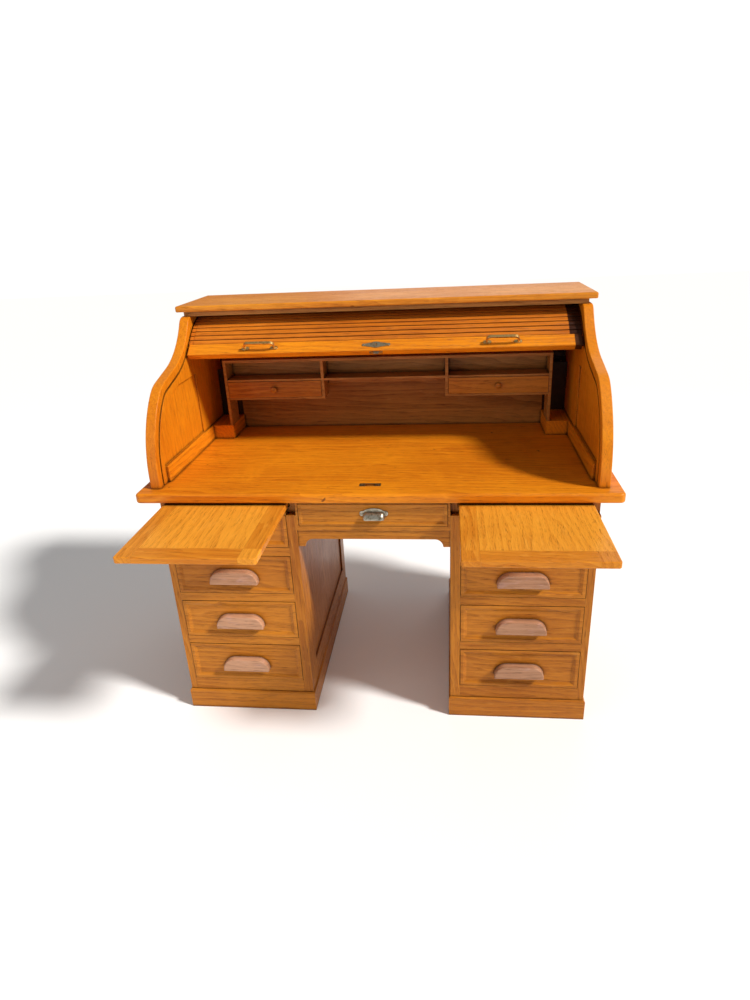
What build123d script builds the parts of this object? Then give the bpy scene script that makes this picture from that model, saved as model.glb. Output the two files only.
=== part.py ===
"""A double-pedestal roll top desk in oak, built as its separate boards, drawers, slats and fittings.

Frame: +X to the sitter's right, +Y to the back, +Z up, in millimetres. The origin is on the floor,
in the middle of the desk's box with both writing slides pulled out. The curtain stands rolled up.
"""
import math
import os

from build123d import *

os.makedirs("parts", exist_ok=True)

# ---------------------------------------------------------------- driving dimensions
worktop_width, worktop_depth, worktop_thick = 1370.0, 776.0, 28.0
worktop_top = 770.0
slide_out = 312.0                       # how far the writing slides stand in front of the worktop
seam = 0.2                              # glue line between neighbouring boards of one sub-part
reveal = 1.5                            # gap round a drawer front

pedestal_inner, pedestal_outer = 220.0, 628.0
side_thick, frame_thick = 20.0, 20.0
plinth_height = 70.0
pedestal_front_depth, pedestal_back_depth = 17.0, 750.0
drawer_openings = ((114.0, 250.0), (278.0, 408.0), (436.0, 566.0), (594.0, 700.0))
drawer_box_depth = 560.0
drawer_border, drawer_sunk, bevel_angle = 9.0, 5.0, 62.0
kneehole_border, kneehole_sunk = 6.0, 3.0
stile_inner_edge, stile_outer_edge = 249.0, 607.0     # the drawer openings lie between these
slide_bottom, stile_top = 716.0, 698.0
kneehole_bottom, kneehole_top = 666.0, 733.0
kneehole_half = 212.0
slide_thick, slide_length = 18.0, 640.0

upper_outer, upper_thick = 650.0, 30.0
upper_foot_depth, upper_back_depth = 42.0, 750.0
top_width, top_thick, top_front_depth, top_back_depth = 1330.0, 19.0, 461.0, 778.0
top_frame_thick = 14.0

unit_width, unit_front_depth, unit_back_depth = 1100.0, 515.0, 595.0
unit_board, unit_top = 9.0, 1045.0
sill_top = 818.0

slat_pitch, slat_thick, slat_gap = 17.4, 9.0, 0.7
slats_per_link, link_count = 3, 11
rail_height, rail_front, rail_back = 46.0, 12.0, 8.0
curtain_travel = 492.0                  # path length from the closed to the open curtain
shoulder, tongue_end = 602.0, 617.0     # half lengths of a slat at its shoulders and tongues

# ---------------------------------------------------------------- derived planes
front = -(top_back_depth - slide_out) / 2          # the worktop's front edge


def depth(distance):
    """Y of a plane that lies this far behind the worktop's front edge."""
    return front + distance


worktop_under = worktop_top - worktop_thick
pedestal_front, pedestal_back = depth(pedestal_front_depth), depth(pedestal_back_depth)
carcass_front = pedestal_front + frame_thick
clear_inner, clear_outer = pedestal_inner + side_thick, pedestal_outer - side_thick
upper_inner = upper_outer - upper_thick
unit_front, unit_back = depth(unit_front_depth), depth(unit_back_depth)


def save(builder, name):
    """Label a finished sub-part and write its STEP file."""
    builder.part.label = name
    export_step(builder.part, f"parts/{name}.step")


def board(x, y, z, mode=Mode.ADD):
    """A straight board between two planes on each axis."""
    with Locations((sum(x) / 2, sum(y) / 2, sum(z) / 2)):
        Box(abs(x[1] - x[0]), y[1] - y[0], z[1] - z[0], mode=mode)


def mirrored(side, low, high):
    """An X range given for the right-hand side, put on the side that the sign names."""
    return tuple(sorted((side * low, side * high)))


# ---------------------------------------------------------------- worktop and strike plate
strike_x, strike_depth = -8.0, 71.0
with BuildPart() as worktop:
    with BuildSketch(Plane.XY.offset(worktop_under)):
        with Locations((0, depth(worktop_depth / 2))):
            RectangleRounded(worktop_width, worktop_depth, 16)
    extrude(amount=worktop_thick)
    fillet(worktop.faces().sort_by(Axis.Z)[-1].outer_wire().edges(), 8)
    fillet(worktop.faces().sort_by(Axis.Z)[0].outer_wire().edges(), 5)
    board((strike_x - 31, strike_x + 31), (depth(strike_depth - 11), depth(strike_depth + 11)),
          (worktop_top - 1.5, worktop_top + 1), mode=Mode.SUBTRACT)
    board((strike_x - 15, strike_x + 15), (depth(strike_depth - 7), depth(strike_depth + 8)),
          (worktop_top - 13, worktop_top), mode=Mode.SUBTRACT)
save(worktop, "worktop")

with BuildPart() as strike_plate:
    with BuildSketch(Plane.XY.offset(worktop_top - 1.5)):
        with Locations((strike_x, depth(strike_depth))):
            RectangleRounded(61.6, 21.6, 4)
            Rectangle(30, 14, mode=Mode.SUBTRACT)
            with GridLocations(48, 0, 2, 1):
                Circle(1.8, mode=Mode.SUBTRACT)
    extrude(amount=1.7)
save(strike_plate, "strike_plate")


# ---------------------------------------------------------------- pedestals
def framed_panel(x, y, z, stile, rail, recess, across):
    """Stiles and rails round a thinner panel; across names the axis that the frame is thin along."""
    thin = x if across == "x" else y
    long_ = y if across == "x" else x
    panel = (thin[0] + recess, thin[1] - recess)

    def piece(along, up, through):
        if across == "x":
            board(through, along, up)
        else:
            board(along, through, up)

    piece((long_[0], long_[0] + stile), z, thin)
    piece((long_[1] - stile, long_[1]), z, thin)
    inside = (long_[0] + stile + seam, long_[1] - stile - seam)
    piece(inside, (z[0], z[0] + rail), thin)
    piece(inside, (z[1] - rail, z[1]), thin)
    piece(inside, (z[0] + rail + seam, z[1] - rail - seam), panel)


side_stile, side_rail, side_recess = 62.0, 70.0, 6.0
for side_name, side in (("left", -1), ("right", 1)):
    with BuildPart() as pedestal_sides:
        for low, high in ((pedestal_inner, clear_inner), (clear_outer, pedestal_outer)):
            framed_panel(mirrored(side, low, high), (carcass_front + seam, pedestal_back - seam),
                         (plinth_height + seam, worktop_under - seam),
                         side_stile, side_rail, side_recess, "x")
    save(pedestal_sides, f"{side_name}_pedestal_sides")

    with BuildPart() as face_frame:
        for low, high in ((pedestal_inner, stile_inner_edge), (stile_outer_edge, pedestal_outer)):
            board(mirrored(side, low, high), (pedestal_front, carcass_front),
                  (plinth_height + seam, stile_top))
        bottoms = [plinth_height] + [opening[1] for opening in drawer_openings]
        tops = [opening[0] for opening in drawer_openings] + [slide_bottom]
        for low, high in zip(bottoms, tops):
            board(mirrored(side, stile_inner_edge + seam, stile_outer_edge - seam),
                  (pedestal_front, carcass_front), (low + seam, high))
    save(face_frame, f"{side_name}_face_frame")

    with BuildPart() as plinth:
        outer = (pedestal_inner - 5, pedestal_outer + 5)
        y_range = (pedestal_front - 7, pedestal_back + 5)
        wall = 26.0
        with BuildSketch(Plane.XY):
            with Locations((side * sum(outer) / 2, sum(y_range) / 2)):
                Rectangle(outer[1] - outer[0], y_range[1] - y_range[0])
                Rectangle(outer[1] - outer[0] - 2 * wall, y_range[1] - y_range[0] - 2 * wall,
                          mode=Mode.SUBTRACT)
        extrude(amount=plinth_height)
        chamfer(plinth.faces().sort_by(Axis.Z)[-1].outer_wire().edges(), 4.5)
        for corner_y in (y_range[0] + wall, y_range[1] - wall):
            board(mirrored(side, outer[0] - 1, outer[1] + 1), (corner_y - seam / 2, corner_y + seam / 2),
                  (-1, plinth_height + 1), mode=Mode.SUBTRACT)
    save(plinth, f"{side_name}_plinth")

with BuildPart() as pedestal_backs:
    for side in (-1, 1):
        framed_panel(mirrored(side, clear_inner + seam, clear_outer - seam),
                     (pedestal_back - 12, pedestal_back - seam),
                     (plinth_height + seam, worktop_under - seam), 50, 60, 3, "y")
    board((-pedestal_inner + seam, pedestal_inner - seam), (pedestal_back - 30, pedestal_back - 10),
          (worktop_under - 100, worktop_under - seam))
save(pedestal_backs, "pedestal_backs")

runner_width, runner_height = 14.0, 16.0
with BuildPart() as drawer_runners:
    for side in (-1, 1):
        for low, high in ((clear_inner + seam, clear_inner + runner_width),
                          (clear_outer - runner_width, clear_outer - seam)):
            for opening_bottom in [opening[0] for opening in drawer_openings] + [slide_bottom]:
                board(mirrored(side, low, high), (carcass_front + seam, pedestal_back - 40),
                      (opening_bottom - runner_height, opening_bottom))
save(drawer_runners, "drawer_runners")

# ---------------------------------------------------------------- kneehole drawer opening and apron
lobe, arch_radius, foot_z, arch_z, rail_z = 20.0, 24.0, 598.0, 622.0, 650.0
with BuildPart() as kneehole_apron:
    half = pedestal_inner - seam
    with BuildSketch(Plane.XZ.offset(-carcass_front)):
        with BuildLine():
            Line((0, arch_z), (half - lobe - arch_radius, arch_z))
            RadiusArc((half - lobe - arch_radius, arch_z), (half - lobe, foot_z), arch_radius)
            Polyline((half - lobe, foot_z), (half, foot_z), (half, rail_z - seam), (0, rail_z - seam),
                     (0, arch_z))
        make_face()
        mirror(about=Plane.YZ)
    extrude(amount=frame_thick - 3)
    board((-half, half), (pedestal_front, carcass_front), (rail_z, kneehole_bottom - reveal))
    board((-half, half), (pedestal_front, carcass_front), (kneehole_top + reveal, worktop_under - seam))
    for side in (-1, 1):
        board(mirrored(side, kneehole_half + reveal, half), (pedestal_front, carcass_front),
              (kneehole_bottom - reveal + seam, kneehole_top + reveal - seam))
        board(mirrored(side, kneehole_half - 16, half), (carcass_front + seam, depth(560)),
              (rail_z, kneehole_bottom - reveal))
save(kneehole_apron, "kneehole_apron")


# ---------------------------------------------------------------- drawers
def drawer(x, z, y, box_depth, wall, bottom, border, sunk):
    """Front board with a sunk field, two sides, a back and a bottom, as separate boards."""
    front_thick = y[1] - y[0]
    board(x, y, z)
    if border:
        with BuildSketch(Plane.XZ.offset(-y[0])) as field:
            with Locations((sum(x) / 2, sum(z) / 2)):
                Rectangle(x[1] - x[0] - 2 * border, z[1] - z[0] - 2 * border)
        extrude(field.sketch, amount=-sunk, taper=bevel_angle, mode=Mode.SUBTRACT)
    box_x = (x[0] + 3, x[1] - 3)
    box_z = (z[0], z[1] - 14)
    back_y = y[0] + front_thick + box_depth
    for low, high in ((box_x[0], box_x[0] + wall), (box_x[1] - wall, box_x[1])):
        board((low, high), (y[1] + seam, back_y), box_z)
    inner = (box_x[0] + wall + seam, box_x[1] - wall - seam)
    board(inner, (back_y - wall, back_y), box_z)
    board(inner, (y[1] + seam, back_y - wall - seam), (z[0] + 6, z[0] + 6 + bottom))


pull_width, pull_height, pull_proud, pull_radius = 148.0, 42.0, 22.0, 38.0
pull_drop = 25.0                        # from the middle of a drawer down to its pull's lower edge


def pull_outline(x, face_y, base_z):
    """The front of a half-moon pull: straight below, round above."""
    half, straight = pull_width / 2 - pull_radius, pull_height - pull_radius
    with BuildSketch(Plane.XZ.offset(-face_y)) as outline:
        with BuildLine(mode=Mode.PRIVATE) as right_half:
            Polyline((x, base_z), (x + half + pull_radius, base_z),
                     (x + half + pull_radius, base_z + straight))
            RadiusArc((x + half + pull_radius, base_z + straight), (x + half, base_z + pull_height),
                      -pull_radius)
            Line((x + half, base_z + pull_height), (x, base_z + pull_height))
        add(right_half.line)
        mirror(right_half.line, about=Plane.YZ.offset(x))
        make_face()
    return outline.sketch


drawer_wall = 12.0
for side_name, side in (("left", -1), ("right", 1)):
    for number, (low, high) in enumerate(reversed(drawer_openings), start=1):
        x_range = mirrored(side, stile_inner_edge + reveal, stile_outer_edge - reveal)
        z_range = (low + reveal, high - reveal)
        with BuildPart() as pedestal_drawer:
            drawer(x_range, z_range, (pedestal_front - 1, carcass_front), drawer_box_depth, drawer_wall,
                   7, drawer_border, drawer_sunk)
        save(pedestal_drawer, f"{side_name}_drawer_{number}")

        middle_x = sum(x_range) / 2
        face_y = pedestal_front - 1 + drawer_sunk - seam
        base_z = (low + high) / 2 - pull_drop
        with BuildPart() as drawer_pull:
            extrude(pull_outline(middle_x, face_y, base_z), amount=pull_proud)
            brow = drawer_pull.edges().filter_by_position(Axis.Y, face_y - pull_proud - 0.1,
                                                          face_y - pull_proud + 0.1)
            fillet(brow.filter_by(lambda edge: edge.center().Z > base_z + 1), 4)
            board((middle_x - 62, middle_x + 62), (face_y - pull_proud + 6, face_y - 3),
                  (base_z - 1, base_z + 20), mode=Mode.SUBTRACT)
        save(drawer_pull, f"{side_name}_drawer_{number}_pull")

with BuildPart() as kneehole_drawer:
    drawer((-kneehole_half, kneehole_half), (kneehole_bottom, kneehole_top),
           (pedestal_front - 1, carcass_front), 470, 10, 6, kneehole_border, kneehole_sunk)
save(kneehole_drawer, "kneehole_drawer")

shell_x, shell_z, shell_half, shell_radius, shell_wall = 5.0, 690.0, 31.0, 20.0, 1.6
with BuildPart() as kneehole_pull:
    shell_y = pedestal_front - 1 + kneehole_sunk - seam
    with BuildSketch(Plane.XZ.offset(-shell_y)):
        with Locations((shell_x, shell_z + 14)):
            Ellipse(shell_half + 2, 16)
            with GridLocations(2 * shell_half + 4, 0, 2, 1):
                Circle(7.5)
                Circle(1.6, mode=Mode.SUBTRACT)
    extrude(amount=shell_wall)
    with BuildSketch(Plane.YZ.offset(shell_x - shell_half)):
        with Locations((shell_y, shell_z)):
            Circle(shell_radius)
            Rectangle(60, 30, align=(Align.CENTER, Align.MAX), mode=Mode.SUBTRACT)
            Rectangle(30, 60, align=(Align.MIN, Align.CENTER), mode=Mode.SUBTRACT)
    extrude(amount=2 * shell_half)
    ends = kneehole_pull.edges().filter_by(GeomType.CIRCLE).filter_by(
        lambda edge: edge.radius > shell_radius - 0.5)
    fillet(ends, 11)
    with BuildSketch(Plane.YZ.offset(shell_x - shell_half + 9)):
        with Locations((shell_y, shell_z)):
            Circle(shell_radius - shell_wall)
            Rectangle(60, 30, align=(Align.CENTER, Align.MAX), mode=Mode.SUBTRACT)
            Rectangle(60, 60, align=(Align.MIN, Align.CENTER), mode=Mode.SUBTRACT)
            with Locations((-shell_wall, 0)):
                Rectangle(shell_wall, 60, align=(Align.MIN, Align.CENTER), mode=Mode.SUBTRACT)
    extrude(amount=2 * shell_half - 18, mode=Mode.SUBTRACT)
save(kneehole_pull, "kneehole_pull")

# ---------------------------------------------------------------- writing slides
for side_name, side in (("left", -1), ("right", 1)):
    x_low, x_high = mirrored(side, clear_inner + 3, clear_outer - 3)
    y_low = front - slide_out
    y_high = y_low + slide_length
    z_low = 718.0
    border, end = 46.0, 52.0
    with BuildPart() as writing_slide:
        with BuildSketch(Plane.XY.offset(z_low)):
            with Locations(((x_low + x_high) / 2, (y_low + y_high) / 2)):
                RectangleRounded(x_high - x_low, y_high - y_low, 7)
        extrude(amount=slide_thick)
        fillet(writing_slide.faces().sort_by(Axis.Z)[-1].outer_wire().edges(), 3)
        fillet(writing_slide.faces().sort_by(Axis.Z)[0].outer_wire().edges(), 3)
        z_cut = (z_low - 1, z_low + slide_thick + 1)
        for x_line in (x_low + border, x_high - border):
            board((x_line - seam / 2, x_line + seam / 2), (y_low - 1, y_high + 1), z_cut,
                  mode=Mode.SUBTRACT)
        for y_line in (y_low + end, y_high - end):
            board((x_low + border, x_high - border), (y_line - seam / 2, y_line + seam / 2), z_cut,
                  mode=Mode.SUBTRACT)
    save(writing_slide, f"{side_name}_writing_slide")


# ---------------------------------------------------------------- S-shaped upper sides
def s_edge(inset=0.0):
    """Turns of the S edge from the foot up, as (length, radius, turn); inset runs a line inside it."""
    return ((30.0, 0.0, 0.0), (0.0, 300.0 - inset, -49.0), (0.0, 110.0 - inset, -27.0),
            (91.7, 0.0, 0.0), (0.0, 280.0 + inset, 41.0), (0.0, 40.0 - inset, -55.0))


def s_points(inset, start):
    """Corner points and headings along the S edge, for joining arcs tangentially."""
    y, z, heading = start[0], start[1], 90.0
    points = [(y, z, heading)]
    for length, radius, turn in s_edge(inset):
        before = math.radians(heading)
        if turn:
            after = math.radians(heading + turn)
            sign = 1 if turn > 0 else -1
            y += sign * radius * (math.sin(after) - math.sin(before))
            z -= sign * radius * (math.cos(after) - math.cos(before))
            heading += turn
        else:
            y += length * math.cos(before)
            z += length * math.sin(before)
        points.append((y, z, heading))
    return points


def s_outline(inset, start):
    """Draw the S edge; returns its last point."""
    points = s_points(inset, start)
    for (y, z, heading), (y2, z2, _), (length, radius, turn) in zip(points, points[1:], s_edge(inset)):
        if turn:
            tangent = (math.cos(math.radians(heading)), math.sin(math.radians(heading)))
            JernArc(start=(y, z), tangent=tangent, radius=radius, arc_size=turn)
        else:
            Line((y, z), (y2, z2))
    return points[-1][:2]


# ---------------------------------------------------------------- the curtain's groove
# The groove follows the S edge, rolls over the top of the case and drops behind the inner back.
# Each stretch is (length, bend): the bend is one over the radius, positive where it rolls over.
groove_start = (depth(73.0), 772.0)
top_radius, corner_radius = 241.0, 50.0
s_radius, lip_radius, hollow_radius = 269.0, 79.0, 311.0
corner_angle = math.asin(50.0 / (top_radius - corner_radius))
groove = ((28.0, 0.0),
          (s_radius * math.radians(49.0), 1 / s_radius),
          (lip_radius * math.radians(27.0), 1 / lip_radius),
          (91.7, 0.0),
          (hollow_radius * math.radians(30.6), -1 / hollow_radius),
          (top_radius * (math.radians(44.6) + corner_angle), 1 / top_radius),
          (corner_radius * (math.pi / 2 - corner_angle), 1 / corner_radius),
          (420.0, 0.0))


def groove_point(distance):
    """Point (y, z) on the line that the slats' backs follow, this far from the worktop."""
    y, z = groove_start
    heading = math.pi / 2
    for length, bend in groove:
        run = min(distance, length)
        turned = heading - run * bend
        if bend:
            y += (math.sin(heading) - math.sin(turned)) / bend
            z += (math.cos(turned) - math.cos(heading)) / bend
        else:
            y += run * math.cos(heading)
            z += run * math.sin(heading)
        heading = turned
        distance -= run
        if distance <= 0:
            break
    return y, z


def next_along(distance, chord):
    """How far along the groove the far end of a straight piece of this length comes."""
    start = groove_point(distance)
    low, high = distance, distance + 1.6 * chord
    for _ in range(50):
        middle = (low + high) / 2
        if math.dist(start, groove_point(middle)) < chord:
            low = middle
        else:
            high = middle
    return (low + high) / 2


def seat_curtain(start, chords):
    """Pivot points of the lift rail and the links, with the rail's bottom edge at start."""
    stations = [start]
    for chord in chords:
        stations.append(next_along(stations[-1], chord))
    return [groove_point(station) for station in stations]


link_length = slats_per_link * slat_pitch
closed_chords = [rail_height] + [math.dist(groove_point(rail_height + link_length * link),
                                           groove_point(rail_height + link_length * (link + 1)))
                                 for link in range(link_count)]
closed_pivots = seat_curtain(0.0, closed_chords)
open_pivots = seat_curtain(curtain_travel, closed_chords)


def heading_of(start, end):
    return math.atan2(end[1] - start[1], end[0] - start[0])


def carried(point, link):
    """Where a point of the closed curtain lies when its link stands open."""
    turn = (heading_of(open_pivots[link], open_pivots[link + 1])
            - heading_of(closed_pivots[link], closed_pivots[link + 1]))
    y, z = point[0] - closed_pivots[link][0], point[1] - closed_pivots[link][1]
    return (open_pivots[link][0] + y * math.cos(turn) - z * math.sin(turn),
            open_pivots[link][1] + y * math.sin(turn) + z * math.cos(turn))


def along(start, end, x):
    """Plane square to X: its x axis runs from start to end and its y axis out of the curtain."""
    heading = heading_of(start, end)
    return Plane(origin=(x, start[0], start[1]), x_dir=(0, math.cos(heading), math.sin(heading)),
                 z_dir=(1, 0, 0))


foot = (depth(upper_foot_depth), worktop_top + seam)
upper_top = s_points(0.0, foot)[-1][1]
for side_name, side in (("left", -1), ("right", 1)):
    x_inner = side * upper_inner
    with BuildPart() as upper_side:
        with BuildSketch(Plane.YZ.offset(x_inner)):
            with BuildLine():
                end_point = s_outline(0.0, foot)
                Polyline(end_point, (depth(upper_back_depth), upper_top),
                         (depth(upper_back_depth), foot[1]), foot)
            make_face()
        extrude(amount=side * upper_thick)
        rim = upper_side.edges().filter_by(
            lambda edge: edge.center().Y < depth(480) and edge.length > 15 and edge.center().Z > 772)
        fillet(rim.filter_by(lambda edge: abs(edge.bounding_box().size.X) < 0.01), 2.5)
        with BuildSketch(Plane.YZ.offset(x_inner)):
            with BuildLine() as groove_line:
                y0, z0 = groove_start
                Line((y0 - slat_thick / 2, z0 - 3), (y0 - slat_thick / 2, z0 + 28))
                heading, at = 90.0, (y0 - slat_thick / 2, z0 + 28)
                for length, bend in groove[1:-1]:
                    turn = -math.degrees(length * bend)
                    direction = (math.cos(math.radians(heading)), math.sin(math.radians(heading)))
                    if bend:
                        radius = abs(1 / bend) + math.copysign(slat_thick / 2, bend)
                        arc = JernArc(start=at, tangent=direction, radius=radius, arc_size=turn)
                        at = (arc @ 1).X, (arc @ 1).Y
                    else:
                        straight = (at[0] + length * direction[0], at[1] + length * direction[1])
                        Line(at, straight)
                        at = straight
                    heading += turn
                Line(at, (at[0], at[1] - 330))
            trace(line_width=8)
        extrude(amount=side * 7, mode=Mode.SUBTRACT)
        with BuildSketch(Plane.YZ.offset(x_inner)):
            with BuildLine():
                inner = s_points(55.0, (foot[0] + 55.0, foot[1]))
                panel_foot = sill_top + 2
                edge = [point[:2] for point in inner[1:5]]
                panel_start = (edge[0][0], panel_foot + 1)
                Line((edge[0][0], panel_foot), panel_start)
                Spline(panel_start, *edge[1:], tangents=((0, 1), (1, 0.25)))
                Polyline(edge[3], (depth(440), edge[3][1]), (depth(440), panel_foot),
                         (edge[0][0], panel_foot))
            make_face()
        extrude(amount=side * 5, mode=Mode.SUBTRACT)
    save(upper_side, f"{side_name}_upper_side")

# ---------------------------------------------------------------- back, top and header
with BuildPart() as upper_back:
    half = upper_inner - seam
    y_range = (depth(upper_back_depth) - 12, depth(upper_back_depth) - 1)
    z_range = (worktop_top + seam, upper_top - seam)
    for low, high in ((-half, -seam), (seam, half)):
        framed_panel((low, high), y_range, z_range, 60, 60, 3, "y")
save(upper_back, "upper_back")

frame_top = upper_top + top_frame_thick
with BuildPart() as top_frame:
    half = 640.0
    z_range = (upper_top + seam, frame_top)
    board((-half, half), (depth(470), depth(515)), z_range)
    board((-half, half), (depth(705), depth(upper_back_depth) - 4), z_range)
    for side in (-1, 1):
        board(mirrored(side, upper_inner, half), (depth(515) + seam, depth(705) - seam), z_range)
save(top_frame, "top_frame")

with BuildPart() as top_board:
    with BuildSketch(Plane.XY.offset(frame_top + seam)):
        with Locations((0, depth((top_front_depth + top_back_depth) / 2))):
            RectangleRounded(top_width, top_back_depth - top_front_depth, 6)
    extrude(amount=top_thick)
    fillet(top_board.faces().sort_by(Axis.Z)[-1].outer_wire().edges(), 6)
    fillet(top_board.faces().sort_by(Axis.Z)[0].outer_wire().edges(), 4)
save(top_board, "top_board")

# ---------------------------------------------------------------- pigeonhole unit, sills, inner back
unit_half = unit_width / 2
divider_x = 209.0
unit_floor, shelf_bottom = 908.0, 971.0
with BuildPart() as pigeonhole_unit:
    y_all = (unit_front, unit_back)
    y_inside = (unit_front + 1, unit_back - 6 - seam)
    ceiling = unit_top - unit_board
    board((-unit_half, unit_half), y_all, (ceiling, unit_top))
    for side in (-1, 1):
        board(mirrored(side, unit_half - unit_board, unit_half), y_all, (sill_top + seam, ceiling - seam))
        board(mirrored(side, divider_x - 5, divider_x + 5), y_inside, (unit_floor, ceiling - seam))
        bay = (divider_x + 5 + seam, unit_half - unit_board - seam)
        board(mirrored(side, *bay), y_inside, (unit_floor, unit_floor + 7))
        board(mirrored(side, *bay), y_inside, (shelf_bottom, shelf_bottom + 7))
        board(mirrored(side, divider_x - 5, bay[1]), (unit_back - 6, unit_back),
              (unit_floor, ceiling - seam))
    board((-divider_x + 5 + seam, divider_x - 5 - seam), y_inside, (shelf_bottom, shelf_bottom + 7))
    board((-divider_x + 5 + seam, divider_x - 5 - seam), (unit_back - 6, unit_back),
          (shelf_bottom - 26, ceiling - seam))
save(pigeonhole_unit, "pigeonhole_unit")

inner_back = (depth(655), depth(663))
with BuildPart() as inner_backboard:
    board((-upper_inner + 1, upper_inner - 1), inner_back, (worktop_top + seam, 985))
save(inner_backboard, "inner_backboard")

with BuildPart() as side_sills:
    for side in (-1, 1):
        z_range = (worktop_top + seam, sill_top)
        board(mirrored(side, unit_half - unit_board - 1, upper_inner - seam),
              (unit_front - 2, inner_back[0] - seam), z_range)
        board(mirrored(side, upper_inner - 8, upper_inner - seam),
              (depth(100), unit_front - 2 - seam), z_range)
save(side_sills, "side_sills")

for side_name, side in (("left", -1), ("right", 1)):
    x_range = mirrored(side, divider_x + 6.2, unit_half - unit_board - 1.2)
    z_range = (unit_floor + 8, shelf_bottom - 1)
    with BuildPart() as small_drawer:
        drawer(x_range, z_range, (unit_front - 0.5, unit_front + 9), 58, 6, 4, 0, 0)
    save(small_drawer, f"{side_name}_small_drawer")

    with BuildPart() as knob:
        with BuildSketch(Plane.XY.offset(sum(z_range) / 2)):
            with BuildLine():
                x_knob, y_knob = sum(x_range) / 2, unit_front - 0.7
                Line((x_knob, y_knob), (x_knob + 5, y_knob))
                Spline((x_knob + 5, y_knob), (x_knob + 4, y_knob - 5), (x_knob + 9, y_knob - 10),
                       (x_knob, y_knob - 15), tangents=((0, -1), (-1, 0)))
                Line((x_knob, y_knob - 15), (x_knob, y_knob))
            make_face()
        revolve(axis=Axis((x_knob, y_knob, sum(z_range) / 2), (0, 1, 0)))
    save(knob, f"{side_name}_small_knob")

# ---------------------------------------------------------------- the curtain
for link in range(1, link_count + 1):
    with BuildPart() as slats:
        for slat in range(slats_per_link):
            station = rail_height + link_length * (link - 1) + slat_pitch * slat
            start = carried(groove_point(station), link)
            end = carried(groove_point(station + slat_pitch), link)
            width = math.dist(start, end)
            with BuildSketch(along(start, end, -shoulder)) as slat_section:
                with Locations((width / 2, slat_thick / 2 + 0.3)):
                    Rectangle(width - 2 * slat_gap, slat_thick)
                fillet(slat_section.vertices().group_by(Axis.Y)[-1], 3.2)
            extrude(amount=2 * shoulder)
            with BuildSketch(along(start, end, -tongue_end)):
                with Locations((width / 2, slat_thick / 2 + 0.3)):
                    Rectangle(width - 4 * slat_gap, slat_thick - 4)
            extrude(amount=2 * tongue_end)
    save(slats, f"slats_{link:02d}")

rail_start, rail_end = open_pivots[0], open_pivots[1]
rail_half = 612.0
keyhole_up = 22.0
with BuildPart() as lift_rail:
    with BuildSketch(along(rail_start, rail_end, -rail_half)) as rail_section:
        with Locations(((rail_height - slat_gap) / 2, (rail_front - rail_back) / 2)):
            Rectangle(rail_height - slat_gap, rail_front + rail_back)
        fillet(rail_section.vertices().group_by(Axis.Y)[-1], 3.5)
    extrude(amount=2 * rail_half)
    with BuildSketch(along(rail_start, rail_end, strike_x - 21)):
        with Locations((0, 2)):
            Rectangle(4, 12)
    extrude(amount=42, mode=Mode.SUBTRACT)
    with BuildSketch(along(rail_start, rail_end, -tongue_end)):
        with Locations((rail_height / 2, slat_thick / 2)):
            Rectangle(rail_height - 8, slat_thick - 4)
    extrude(amount=2 * tongue_end)
save(lift_rail, "lift_rail")

with BuildPart() as lock_catch:
    with BuildSketch(along(rail_start, rail_end, strike_x - 21 + seam)):
        with Locations((1, 2)):
            Rectangle(1.8, 12 - 2 * seam)
    extrude(amount=42 - 2 * seam)
    with BuildSketch(along(rail_start, rail_end, strike_x - 8)):
        with Locations((-2.5, 2)):
            Rectangle(6, 5)
    extrude(amount=16)
save(lock_catch, "lock_catch")

rail_heading = heading_of(rail_start, rail_end)
rail_up = Vector(0, math.cos(rail_heading), math.sin(rail_heading))
rail_out = Vector(0, -math.sin(rail_heading), math.cos(rail_heading))


def on_rail(x, up, out):
    """A point on the lift rail, measured up its face and out from its front."""
    return Vector(x, *rail_start) + rail_up * up + rail_out * (rail_front + out)


with BuildPart() as escutcheon:
    with BuildSketch(Plane(on_rail(strike_x, keyhole_up, seam / 2), x_dir=(1, 0, 0), z_dir=rail_out)):
        Ellipse(40, 8.5)
        Ellipse(20, 11.5)
        with GridLocations(78, 0, 2, 1):
            Circle(5)
        with GridLocations(78, 0, 2, 1):
            Circle(1.5, mode=Mode.SUBTRACT)
        with Locations((0, 2)):
            Circle(2.6, mode=Mode.SUBTRACT)
        with Locations((0, -2)):
            Rectangle(2.4, 8, mode=Mode.SUBTRACT)
    extrude(amount=1.6)
save(escutcheon, "escutcheon")

bow_half, bow_proud, bow_thick, bow_width = 54.0, 24.0, 5.0, 9.0
with BuildPart() as lift_handles:
    for x_bow in (-378.0, 378.0):
        bow_centre = on_rail(x_bow, 20 - bow_width / 2, seam / 2)
        with BuildSketch(Plane(bow_centre, x_dir=(1, 0, 0), z_dir=-rail_up)):
            with BuildLine():
                FilletPolyline((-bow_half + 8, 0), (-bow_half + 3, bow_proud),
                               (bow_half - 3, bow_proud), (bow_half - 8, 0), radius=13)
            trace(line_width=bow_thick)
            with Locations((0, -5)):
                Rectangle(4 * bow_half, 10, mode=Mode.SUBTRACT)
        extrude(amount=-bow_width)
        with BuildSketch(Plane(on_rail(x_bow, 20, seam / 2), x_dir=(1, 0, 0), z_dir=rail_out)):
            with GridLocations(2 * bow_half - 16, 0, 2, 1):
                SlotOverall(24, 12)
        extrude(amount=2)
save(lift_handles, "lift_handles")
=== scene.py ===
"""Looks of the roll top desk: waxed oak, aged brass and pewter fittings, studio light.

Lengths are in metres, in the frame of the desk: x runs to its right, y to its back and z up.
"""
import math

import bmesh
import bpy
from mathutils import Matrix, Vector


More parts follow.
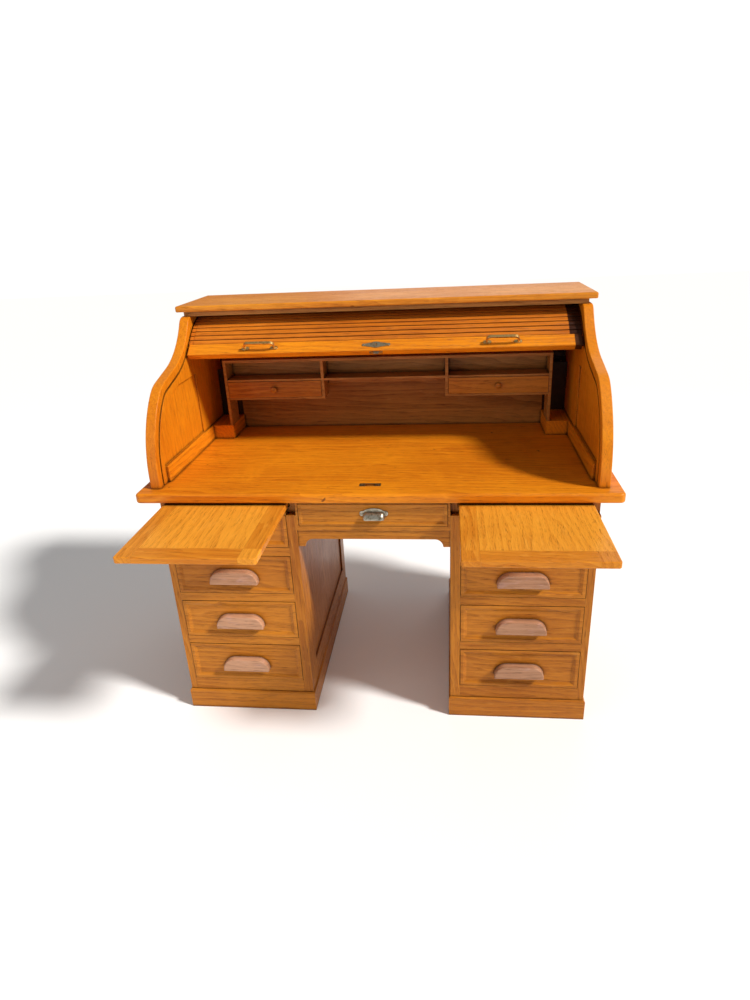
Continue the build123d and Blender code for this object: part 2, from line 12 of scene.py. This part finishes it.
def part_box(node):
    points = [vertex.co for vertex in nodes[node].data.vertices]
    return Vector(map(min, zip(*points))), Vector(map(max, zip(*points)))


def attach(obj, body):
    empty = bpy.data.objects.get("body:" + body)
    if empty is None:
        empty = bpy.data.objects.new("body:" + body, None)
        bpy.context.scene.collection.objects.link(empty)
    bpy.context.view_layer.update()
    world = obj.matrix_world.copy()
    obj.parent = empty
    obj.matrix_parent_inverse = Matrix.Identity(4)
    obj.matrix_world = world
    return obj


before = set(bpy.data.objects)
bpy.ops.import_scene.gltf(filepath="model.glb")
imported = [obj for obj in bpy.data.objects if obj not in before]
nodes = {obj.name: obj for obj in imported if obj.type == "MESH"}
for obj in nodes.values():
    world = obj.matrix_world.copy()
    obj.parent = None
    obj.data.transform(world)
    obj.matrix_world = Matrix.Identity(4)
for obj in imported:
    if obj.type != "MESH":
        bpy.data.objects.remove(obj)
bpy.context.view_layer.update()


# ---------------------------------------------------------------- shader helpers
class Graph:
    """Builds a node material; every value given is set on, or linked to, the node's own socket."""

    def __init__(self, name):
        self.material = bpy.data.materials.new(name)
        self.material.use_nodes = True
        self.tree = self.material.node_tree
        self.tree.nodes.clear()

    def add(self, kind, inputs=None, **settings):
        node = self.tree.nodes.new(kind)
        for key, value in settings.items():
            setattr(node, key, value)
        for key, value in (inputs or {}).items():
            self.put(node, key, value)
        return node

    def put(self, node, key, value):
        if isinstance(value, bpy.types.NodeSocket):
            self.tree.links.new(value, node.inputs[key])
        else:
            node.inputs[key].default_value = value

    def math(self, operation, *values, clamp=False):
        node = self.add("ShaderNodeMath", dict(enumerate(values)), operation=operation)
        node.use_clamp = clamp
        return node.outputs[0]

    def vector_math(self, operation, *values):
        node = self.add("ShaderNodeVectorMath", dict(enumerate(values)), operation=operation)
        return node.outputs[0]

    def noise(self, vector, scale, detail=3.0, roughness=0.55, distortion=0.0):
        node = self.add("ShaderNodeTexNoise", {"Vector": vector, "Scale": scale, "Detail": detail,
                                               "Roughness": roughness, "Distortion": distortion})
        return node.outputs["Fac"]

    def ramp(self, value, low, high, to_low=0.0, to_high=1.0):
        """Goes smoothly from to_low at value low to to_high at value high."""
        node = self.add("ShaderNodeMapRange", {"Value": value, "From Min": low, "From Max": high,
                                               "To Min": to_low, "To Max": to_high})
        node.interpolation_type = "SMOOTHSTEP"
        return node.outputs[0]

    def mix(self, factor, first, second):
        node = self.add("ShaderNodeMix", {0: factor, 6: first, 7: second}, data_type="RGBA")
        return node.outputs[2]

    def mix_vector(self, factor, first, second):
        node = self.add("ShaderNodeMix", {0: factor, 4: first, 5: second}, data_type="VECTOR")
        return node.outputs[1]

    def inside(self, value, low, high):
        """1 where low < value < high, else 0."""
        return self.math("MULTIPLY", self.math("GREATER_THAN", value, low),
                         self.math("LESS_THAN", value, high))

    def bumped(self, height, normal, strength, distance):
        return self.add("ShaderNodeBump", {"Strength": strength, "Distance": distance, "Height": height,
                                           "Normal": normal}).outputs[0]

    def surface(self, **inputs):
        """The finished material; an input is a socket of Principled BSDF, with _ for each space."""
        shader = self.add("ShaderNodeBsdfPrincipled",
                          {key.replace("_", " "): value for key, value in inputs.items()})
        out = self.add("ShaderNodeOutputMaterial")
        self.tree.links.new(shader.outputs[0], out.inputs[0])
        return self.material


# The grain runs along the first coordinate: each turn lays that along one axis of the desk.
TURNS = {"x": (0, 1, 2), "y": (1, 0, 2), "z": (2, 0, 1)}

# How often each layer of the wood repeats in a metre, along the grain and across it.
DRIFT = (1.0, 6.0)
RINGS = (0.9, 15.0)
STREAKS = (2.6, 170.0)
FIBRES = (11.0, 560.0)
PORES = (30.0, 760.0)
RAYS = (16.0, 46.0)
SCUFFS = (6.0, 34.0)

# How far edges are worn round, how far the darkening from a corner reaches (grime and painted shade on
# wood), and the height of the bumps.
WOOD_EDGE, WOOD_GRIME_AND_SHADE, WOOD_BUMP = 0.0016, 0.013, 0.0010
METAL_EDGE, METAL_GRIME, METAL_BUMP = 0.0012, 0.008, 0.0003
WOOD_ROUGHNESS = 0.26

# How unevenly a painted shadow at a blackened end starts, and over what length it fades in.
SHADOW_STEPS, SHADOW_FADE = 0.016, 0.003


def rgb(red, green, blue):
    return (red, green, blue, 1.0)


def shaded(colour, factor):
    return rgb(*(min(1.0, channel * factor) for channel in colour[:3]))


def rounded(g, radius):
    """Normal of an edge worn round by this radius, and a mask that is 1 along such edges."""
    normal = g.add("ShaderNodeBevel", {"Radius": radius}, samples=4).outputs[0]
    flat = g.add("ShaderNodeNewGeometry").outputs["Normal"]
    facing = g.add("ShaderNodeVectorMath", {0: normal, 1: flat}, operation="DOT_PRODUCT").outputs["Value"]
    return normal, g.ramp(facing, 0.86, 0.99, 1.0, 0.0)


def crevice(g, distance, low, high):
    """1 deep in corners and gaps, 0 in the open."""
    occlusion = g.add("ShaderNodeAmbientOcclusion", {"Distance": distance}, samples=6)
    return g.ramp(occlusion.outputs["AO"], low, high, 1.0, 0.0)


def oak(name, grain, bands=(), *, light, dark, seed, plank=None, spread=0.14, figure=1.0, curl=0.0,
        stains=0.0, painted_shadow_from=None, shadow_both_ends=False):
    """Waxed oak, from light early wood to dark late wood.

    bands are (coordinate, low, high, axis): inside them the grain runs along that axis. plank is a
    coordinate and a width, and glues a wide board up from planks of that width. Each band and each
    plank has its own stretch of grain, and its own tone within spread. seed sets all of them off from
    other materials. figure is the strength of the growth rings, curl bends the grain, stains adds
    rubbed patches and spots, and past the x given for the painted shadow the wood is darkened nearly
    to black as the painted shadow of the gap at its end, at both ends or at the right one only.
    """
    g = Graph(name)
    coordinate = g.add("ShaderNodeTexCoord").outputs["Object"]
    xyz = g.add("ShaderNodeSeparateXYZ", {0: coordinate}).outputs

    def joined(x, y, z):
        return g.add("ShaderNodeCombineXYZ", {0: x, 1: y, 2: z}).outputs[0]

    def turned(axis):
        return joined(*(xyz[index] for index in TURNS[axis]))

    flow = turned(grain)
    board = seed
    for number, (index, low, high, axis) in enumerate(bands, 2):
        size = g.math("ABSOLUTE", xyz[index]) if index == 0 else xyz[index]
        within = g.inside(size, low, high)
        flow = g.mix_vector(within, flow, turned(axis))
        board = g.math("ADD", board, g.math("MULTIPLY", within, number))
    if plank:
        index, width = plank
        board = g.math("ADD", g.math("FLOOR", g.math("DIVIDE", xyz[index], width)), seed)
    tone = g.add("ShaderNodeTexWhiteNoise", {"W": board}, noise_dimensions="1D").outputs["Value"]

    shift = g.math("ADD", g.math("MULTIPLY", tone, 7.3), seed)
    shifted = g.vector_math("ADD", flow, joined(shift, shift, g.math("MULTIPLY", shift, 0.7)))
    if curl:
        swirl = g.add("ShaderNodeTexNoise", {"Vector": shifted, "Scale": 9.0, "Detail": 2.0})
        bend = g.vector_math("MULTIPLY", swirl.outputs["Color"], (curl, curl, curl))
        shifted = g.vector_math("ADD", shifted, bend)

    def stretched(repeats):
        along, across = repeats
        return g.vector_math("MULTIPLY", shifted, (along, across, across))

    def layer(repeats, detail, roughness=0.55, distortion=0.0):
        return g.noise(stretched(repeats), 1.0, detail, roughness, distortion)

    drift = layer(DRIFT, 3.0)
    wander = joined(0.0, g.math("MULTIPLY", drift, 1.8 * figure), g.math("MULTIPLY", drift, 1.2 * figure))
    rings = g.add("ShaderNodeTexWave", {"Vector": g.vector_math("ADD", stretched(RINGS), wander),
                                        "Scale": 1.9, "Distortion": 2.2 * figure, "Detail": 3.0,
                                        "Detail Scale": 1.3},
                  wave_type="BANDS", bands_direction="DIAGONAL", wave_profile="SAW").outputs["Fac"]
    streaks = layer(STREAKS, 5.0, 0.66)
    fibres = layer(FIBRES, 3.0, 0.62)
    pores = g.ramp(layer(PORES, 2.0, 0.5), 0.55, 0.66)
    pores = g.math("MULTIPLY", pores, g.ramp(rings, 0.1, 0.9, 0.35, 1.0))
    rays = g.ramp(layer(RAYS, 2.0, 0.5, 0.6), 0.58, 0.72)
    scuffs = g.ramp(layer(SCUFFS, 6.0, 0.7), 0.60, 0.78)
    patina = g.noise(coordinate, 3.4, 4.0, 0.6)

    depth = g.math("ADD", g.math("MULTIPLY", rings, 0.20 * figure), g.math("MULTIPLY", streaks, 0.66))
    depth = g.math("ADD", depth, g.math("MULTIPLY", fibres, 0.34))
    depth = g.math("ADD", depth, g.math("MULTIPLY", g.math("SUBTRACT", tone, 0.5), 2 * spread))
    depth = g.math("ADD", depth, g.math("MULTIPLY", g.math("SUBTRACT", patina, 0.5), 0.62))
    colour = g.mix(g.ramp(depth, 0.24, 0.98), light, dark)
    red, green, blue, _ = light
    pale = rgb(min(1.0, red * 1.12), green * 1.3, blue * 2.2)
    colour = g.mix(g.math("MULTIPLY", rays, 0.20), colour, pale)
    colour = g.mix(g.math("MULTIPLY", pores, 0.60), colour, shaded(dark, 0.36))

    normal, edge = rounded(g, WOOD_EDGE)
    # Wear and painted highlight: edges are lightened toward the pale tone, as rubbed wear and as light
    # caught on the edges.
    wear_and_highlight = g.math("MULTIPLY", edge, g.ramp(g.noise(coordinate, 21.0, 4.0, 0.65), 0.36, 0.62, 0.25, 0.85))
    colour = g.mix(wear_and_highlight, colour, pale)
    # Grime and painted shade: corners and gaps found by occlusion are darkened, as dirt and as the shade
    # that falls there.
    corners = crevice(g, WOOD_GRIME_AND_SHADE, 0.40, 0.92)
    grime_and_shade = g.math("MULTIPLY", corners, g.ramp(patina, 0.30, 0.62, 0.65, 1.0))
    colour = g.mix(grime_and_shade, colour, shaded(dark, 0.14))
    if stains:
        rubbed = g.ramp(g.noise(coordinate, 4.6, 5.0, 0.68, 0.8), 0.52, 0.70)
        colour = g.mix(g.math("MULTIPLY", rubbed, 0.35 * stains), colour, shaded(light, 1.12))
        spots = g.ramp(g.noise(coordinate, 31.0, 2.0, 0.45, 0.4), 0.745, 0.775)
        colour = g.mix(g.math("MULTIPLY", spots, stains), colour, shaded(dark, 0.25))
    # Painted shadow: past the given x the wood is darkened nearly to black, as the shade in the gap at its
    # end.
    if painted_shadow_from:
        if shadow_both_ends:
            reach = g.math("ABSOLUTE", xyz[0])
        else:
            reach = g.math("ADD", xyz[0], g.math("MULTIPLY", tone, SHADOW_STEPS))
        colour = g.mix(g.ramp(reach, painted_shadow_from, painted_shadow_from + SHADOW_FADE), colour, shaded(dark, 0.10))

    gloss = g.math("ADD", g.math("MULTIPLY", patina, 0.24), WOOD_ROUGHNESS)
    gloss = g.math("ADD", gloss, g.math("MULTIPLY", pores, 0.25))
    gloss = g.math("ADD", gloss, g.math("MULTIPLY", g.math("ADD", scuffs, grime_and_shade), 0.10), clamp=True)
    height = g.math("SUBTRACT", g.math("MULTIPLY", fibres, 0.22), g.math("MULTIPLY", pores, 0.9))
    height = g.math("ADD", height, g.math("MULTIPLY", streaks, 0.40))
    return g.surface(Base_Color=colour, Roughness=gloss, Normal=g.bumped(height, normal, 0.45, WOOD_BUMP),
                     Coat_Weight=0.04, Coat_Roughness=0.20, Specular_IOR_Level=0.20)


def metal(name, bright, tarnish, rough, seed):
    """Cast metal, rubbed bright on the high places and tarnished where fingers don't reach."""
    g = Graph(name)
    coordinate = g.vector_math("ADD", g.add("ShaderNodeTexCoord").outputs["Object"], (seed, seed, seed))
    blotch = g.noise(coordinate, 60.0, 5.0, 0.65)
    speck = g.noise(coordinate, 900.0, 3.0, 0.6)
    scratch = g.noise(g.vector_math("MULTIPLY", coordinate, (120.0, 2600.0, 2600.0)), 1.0, 2.0)
    normal, edge = rounded(g, METAL_EDGE)
    age = g.math("SUBTRACT", g.ramp(blotch, 0.40, 0.70), g.math("MULTIPLY", edge, 0.7), clamp=True)
    age = g.math("MAXIMUM", age, g.math("MULTIPLY", crevice(g, METAL_GRIME, 0.25, 0.75), 0.9), clamp=True)
    colour = g.mix(age, bright, tarnish)
    gloss = g.math("ADD", g.math("MULTIPLY", age, 0.28), rough)
    gloss = g.math("ADD", gloss, g.math("MULTIPLY", speck, 0.12), clamp=True)
    height = g.math("ADD", g.math("MULTIPLY", speck, 0.6), g.math("MULTIPLY", scratch, 0.4))
    return g.surface(Base_Color=colour, Metallic=1.0, Roughness=gloss,
                     Normal=g.bumped(height, normal, 0.25, METAL_BUMP))


# ---------------------------------------------------------------- materials of the CAD nodes
def dress(node, material):
    piece = nodes[node]
    piece.data.materials.clear()
    piece.data.materials.append(material)


# Each kind of oak on the desk, by its early and its late wood.
HONEY = {"light": rgb(0.88, 0.290, 0.009), "dark": rgb(0.55, 0.130, 0.003)}
AMBER = {"light": rgb(0.60, 0.215, 0.016), "dark": rgb(0.32, 0.090, 0.005)}
GOLD = {"light": rgb(0.88, 0.350, 0.030), "dark": rgb(0.60, 0.180, 0.010)}
BROWN = {"light": rgb(0.54, 0.225, 0.045), "dark": rgb(0.28, 0.098, 0.014)}
RED = {"light": rgb(0.72, 0.210, 0.014), "dark": rgb(0.36, 0.070, 0.003)}
PINK = {"light": rgb(0.58, 0.315, 0.185), "dark": rgb(0.33, 0.160, 0.085)}

# Where the rails and stiles of framed parts end, so that the grain turns there.
side_low, side_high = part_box("right_pedestal_sides")
frame_low, frame_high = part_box("right_face_frame")
slide_low, slide_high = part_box("right_writing_slide")
stile, rail = 0.062, 0.070
inner_stile, outer_stile = 0.029, 0.021
slide_stile, slide_end = 0.046, 0.052
beyond, just_past = 1.0, 0.001
rows, links = 4, 11
side_bands = ((2, side_low[2] - beyond, side_low[2] + rail, "y"),
              (2, side_high[2] - rail, side_high[2] + beyond, "y"),
              (1, side_low[1] - beyond, side_low[1] + stile, "z"),
              (1, side_high[1] - stile, side_high[1] + beyond, "z"))
face_bands = ((0, frame_low[0] - just_past, frame_low[0] + inner_stile, "z"),
              (0, frame_high[0] - outer_stile, frame_high[0] + just_past, "z"))
plinth_bands = ((1, frame_high[1], beyond, "y"),)
slide_bands = ((1, slide_low[1] - just_past, slide_low[1] + slide_end, "x"),
               (0, slide_low[0] - just_past, slide_low[0] + slide_stile, "y"),
               (0, slide_high[0] - slide_stile, slide_high[0] + just_past, "y"))
for number, side in enumerate(("left", "right")):
    dress(f"{side}_pedestal_sides", oak(f"{side}_pedestal_side_oak", "z", side_bands, seed=2.1 + number,
                                        **AMBER))
    dress(f"{side}_face_frame", oak(f"{side}_face_frame_oak", "x", face_bands, seed=5.3 + number, **AMBER))
    dress(f"{side}_plinth", oak(f"{side}_plinth_oak", "x", plinth_bands, seed=8.7 + number, **AMBER))
    dress(f"{side}_upper_side", oak(f"{side}_upper_side_oak", "z", seed=11.9 + number, figure=0.15, **HONEY))
    dress(f"{side}_writing_slide", oak(f"{side}_slide_oak", "y", slide_bands, seed=14.2 + number,
                                       spread=0.20, curl=0.012 * number, **GOLD))
    dress(f"{side}_small_drawer", oak(f"{side}_small_drawer_oak", "x", seed=17.4 + number, **AMBER))
    dress(f"{side}_small_knob", oak(f"{side}_knob_oak", "x", seed=19.1 + number, **AMBER))
    for row in range(1, rows + 1):
        seed = 23.0 + 3.7 * row + 1.9 * number
        dress(f"{side}_drawer_{row}", oak(f"{side}_drawer_{row}_oak", "x", seed=seed, **AMBER))
        dress(f"{side}_drawer_{row}_pull", oak(f"{side}_pull_{row}_oak", "x", seed=seed + 1.1,
                                               figure=0.8, **PINK))

dress("worktop", oak("worktop_oak", "x", seed=31.0, plank=(1, 0.128), stains=0.8, **HONEY))
dress("top_board", oak("top_board_oak", "x", seed=36.5, plank=(1, 0.106), stains=0.5, **GOLD))
dress("top_frame", oak("top_frame_oak", "x", seed=39.0, **BROWN))
dress("upper_back", oak("upper_back_oak", "z", seed=42.0, **BROWN))
dress("pedestal_backs", oak("pedestal_back_oak", "z", seed=44.0, **BROWN))
dress("drawer_runners", oak("runner_oak", "y", seed=47.0, **BROWN))
dress("kneehole_apron", oak("apron_oak", "x", seed=49.0, **AMBER))
dress("kneehole_drawer", oak("kneehole_drawer_oak", "x", seed=52.0, **AMBER))
dress("pigeonhole_unit", oak("pigeonhole_oak", "x", seed=55.0, **BROWN))
# Painted shadow: the backboard beyond both ends of the pigeonhole unit, and the right ends of the tambour
# slats and the lift rail, are darkened as the shade in the gaps there.
shadow_behind_unit, shadow_on_slats, shadow_less_on_rail = 0.010, 0.033, 0.012
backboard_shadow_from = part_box("pigeonhole_unit")[1][0] - shadow_behind_unit
dress("inner_backboard", oak("backboard_oak", "x", seed=58.0, plank=(2, 0.118), painted_shadow_from=backboard_shadow_from,
                             shadow_both_ends=True, **BROWN))
dress("side_sills", oak("sill_oak", "y", seed=61.0, **HONEY))
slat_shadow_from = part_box("slats_01")[1][0] - shadow_on_slats
rail_shadow_from = slat_shadow_from + shadow_less_on_rail
for link in range(1, links + 1):
    dress(f"slats_{link:02d}", oak(f"tambour_{link:02d}_oak", "x", seed=64.0 + 0.37 * link, spread=0.16,
                                   figure=0.7, painted_shadow_from=slat_shadow_from, **RED))
dress("lift_rail", oak("lift_rail_oak", "x", seed=67.0, painted_shadow_from=rail_shadow_from, **HONEY))

brass = metal("aged_brass", rgb(0.90, 0.62, 0.24), rgb(0.40, 0.22, 0.06), 0.24, 0.0)
pewter = metal("pewter", rgb(0.50, 0.46, 0.37), rgb(0.13, 0.10, 0.06), 0.30, 3.0)
dark_brass = metal("strike_brass", rgb(0.36, 0.26, 0.12), rgb(0.09, 0.06, 0.03), 0.35, 6.0)
bronze = metal("escutcheon_metal", rgb(0.58, 0.50, 0.34), rgb(0.16, 0.12, 0.07), 0.30, 9.0)
dress("strike_plate", dark_brass)
dress("escutcheon", bronze)
dress("lift_handles", brass)
dress("lock_catch", pewter)
dress("kneehole_pull", pewter)


# ---------------------------------------------------------------- screws and pins
def screw_mesh(name, radius, rise, material):
    """A round head, turned about Z, with its flat underside at the origin.

    The faces over the slot stay in place, so the slot is a hollow under the crown and doesn't show.
    """
    profile = ((1.0, 0.0), (1.0, 0.30), (0.86, 0.62), (0.60, 0.86), (0.30, 0.97), (0.0, 1.0))
    steps, same_place = 28, 1e-6
    slot_half, slot_depth, shoulder = 0.16 * radius, 0.4 * rise, 0.35 * rise
    build = bmesh.new()
    dots = [build.verts.new((radius * across, 0.0, rise * up)) for across, up in profile]
    lines = [build.edges.new(pair) for pair in zip(dots, dots[1:])]
    bmesh.ops.spin(build, geom=dots + lines, axis=(0, 0, 1), cent=(0, 0, 0), steps=steps, angle=math.tau)
    bmesh.ops.remove_doubles(build, verts=build.verts, dist=same_place)
    for cut in (-slot_half, slot_half):
        bmesh.ops.bisect_plane(build, geom=build.verts[:] + build.edges[:] + build.faces[:],
                               plane_co=(cut, 0, 0), plane_no=(1, 0, 0))
    bmesh.ops.recalc_face_normals(build, faces=build.faces)
    slot = [face for face in build.faces
            if abs(face.calc_center_median().x) < slot_half and face.calc_center_median().z > shoulder]
    sunk = bmesh.ops.extrude_face_region(build, geom=slot)["geom"]
    bmesh.ops.translate(build, vec=(0, 0, -slot_depth),
                        verts=[part for part in sunk if isinstance(part, bmesh.types.BMVert)])
    bmesh.ops.holes_fill(build, edges=[edge for edge in build.edges if edge.is_boundary])
    bmesh.ops.recalc_face_normals(build, faces=build.faces)
    mesh = bpy.data.meshes.new(name)
    build.to_mesh(mesh)
    build.free()
    mesh.materials.append(material)
    return mesh


def screw(name, body, place, outward, radius, rise, material, turn):
    """Sets a screw head on a surface, riding on a body; turn is the angle that it is left at."""
    piece = bpy.data.objects.new(name, screw_mesh(name, radius, rise, material))
    bpy.context.scene.collection.objects.link(piece)
    aim = Vector(outward).to_track_quat("Z", "Y").to_matrix().to_4x4()
    piece.matrix_world = Matrix.Translation(place) @ aim @ Matrix.Rotation(turn, 4, "Z")
    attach(piece, body)


def middle(node):
    low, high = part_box(node)
    return Vector((a + b) / 2 for a, b in zip(low, high))


def facing_up(vector):
    return -vector if vector.z < 0 else vector


plate_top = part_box("strike_plate")[1][2]
pull_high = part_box("kneehole_pull")[1]
plate, pull, key_plate = middle("strike_plate"), middle("kneehole_pull"), middle("escutcheon")
shield = nodes["escutcheon"].data
widest = max(shield.polygons, key=lambda face: (round(face.area, 9), face.normal.z))
rail_out = facing_up(widest.normal.normalized())
rail_up = facing_up(Vector((1, 0, 0)).cross(rail_out))

# Half of the distance between two screws of a plate, and where the bow handles stand.
plate_half, pull_half, pin_half, foot_half = 0.024, 0.033, 0.039, 0.0535
handle_middle = 0.378
# How far each head lies above or below the part of its plate that it is measured from.
plate_sunk, pull_sunk, pull_drop = 0.0002, 0.0018, 0.016
pin_raised, foot_raised, foot_drop = 0.0006, 0.0011, 0.002
for side, sign in (("left", -1), ("right", 1)):
    screw(f"strike_screw_{side}", "case",
          (plate.x + sign * plate_half, plate.y, plate_top - plate_sunk), (0, 0, 1),
          radius=0.0027, rise=0.0007, material=dark_brass, turn=0.4 + sign)
    screw(f"kneehole_pull_screw_{side}", "kneehole_drawer_body",
          (pull.x + sign * pull_half, pull_high[1] - pull_sunk, pull_high[2] - pull_drop), (0, -1, 0),
          radius=0.0030, rise=0.0011, material=pewter, turn=0.9 * sign)
    screw(f"escutcheon_pin_{side}", "lift_rail_body",
          key_plate + Vector((sign * pin_half, 0, 0)) + rail_out * pin_raised, rail_out,
          radius=0.0021, rise=0.0009, material=bronze, turn=0.3 * sign)
    for end, step in (("inner", -sign), ("outer", sign)):
        foot = Vector((sign * handle_middle + step * foot_half, key_plate.y, key_plate.z))
        screw(f"{side}_handle_screw_{end}", "lift_rail_body",
              foot - rail_up * foot_drop + rail_out * foot_raised, rail_out,
              radius=0.0026, rise=0.0011, material=brass, turn=0.7 * step)


# ---------------------------------------------------------------- camera, light and floor
def look(place, right, up, away):
    """A matrix at a place whose x, y and z axes are right, up and away from what it looks at."""
    turn = Matrix((right, up, away)).transposed().to_4x4()
    return Matrix.Translation(place) @ turn


scene = bpy.context.scene
yaw, pitch, roll = -0.12188, -0.40761, -0.049374
desk_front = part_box("worktop")[0][1]
eye = Vector((0.21633, desk_front - 1.6615, 1.4762))
forward = Vector((math.sin(yaw) * math.cos(pitch), math.cos(yaw) * math.cos(pitch), math.sin(pitch)))
level = Vector((math.cos(yaw), -math.sin(yaw), 0.0))
upward = level.cross(forward)
right = level * math.cos(roll) + upward * math.sin(roll)
top = upward * math.cos(roll) - level * math.sin(roll)
lens = bpy.data.cameras.new("camera")
lens.sensor_width = 36.0
lens.lens = 23.74
lens.clip_end = 60.0
camera = bpy.data.objects.new("camera", lens)
scene.collection.objects.link(camera)
camera.matrix_world = look(eye, right, top, -forward)
scene.camera = camera

floor_reach = 14.0
floor_mesh = bpy.data.meshes.new("floor")
floor_build = bmesh.new()
bmesh.ops.create_grid(floor_build, x_segments=1, y_segments=1, size=floor_reach)
floor_build.to_mesh(floor_mesh)
floor_build.free()
floor = bpy.data.objects.new("floor", floor_mesh)
scene.collection.objects.link(floor)
paper = Graph("floor_paper").surface(Base_Color=rgb(0.99, 0.99, 0.99), Roughness=0.9,
                                     Specular_IOR_Level=0.1)
floor_mesh.materials.append(paper)

# The sky is white where the camera sees it, and lights the desk only dimly.
sky_light, sky_seen = 0.25, 1.10
world = bpy.data.worlds.new("studio")
world.use_nodes = True
background = world.node_tree.nodes["Background"]
background.inputs[0].default_value = rgb(1.0, 1.0, 1.0)
seen = world.node_tree.nodes.new("ShaderNodeLightPath").outputs["Is Camera Ray"]
strength = world.node_tree.nodes.new("ShaderNodeMapRange")
strength.inputs["To Min"].default_value = sky_light
strength.inputs["To Max"].default_value = sky_seen
world.node_tree.links.new(seen, strength.inputs["Value"])
world.node_tree.links.new(strength.outputs[0], background.inputs[1])
scene.world = world
scene.view_settings.view_transform = "Standard"


def lamp(name, kind, place, target, energy, colour, **shape):
    light = bpy.data.lights.new(name, kind)
    light.energy = energy
    light.color = colour
    for key, value in shape.items():
        setattr(light, key, value)
    lit = bpy.data.objects.new(name, light)
    scene.collection.objects.link(lit)
    lit.location = place
    lit.rotation_euler = (Vector(target) - Vector(place)).to_track_quat("-Z", "Y").to_euler()


desk_middle = (0.0, 0.1, 0.7)
sunlight, lamplight = (1.0, 0.975, 0.94), (1.0, 0.99, 0.98)
lamp("key", "SUN", (2.3, -0.75, 2.9), desk_middle, 3.8, sunlight, angle=math.radians(9))
lamp("fill", "AREA", (-2.4, -2.4, 1.8), desk_middle, 16.0, lamplight, shape="RECTANGLE", size=2.4,
     size_y=2.0)
lamp("rim", "AREA", (0.5, 2.8, 2.4), desk_middle, 14.0, lamplight, shape="RECTANGLE", size=2.4,
     size_y=1.2)
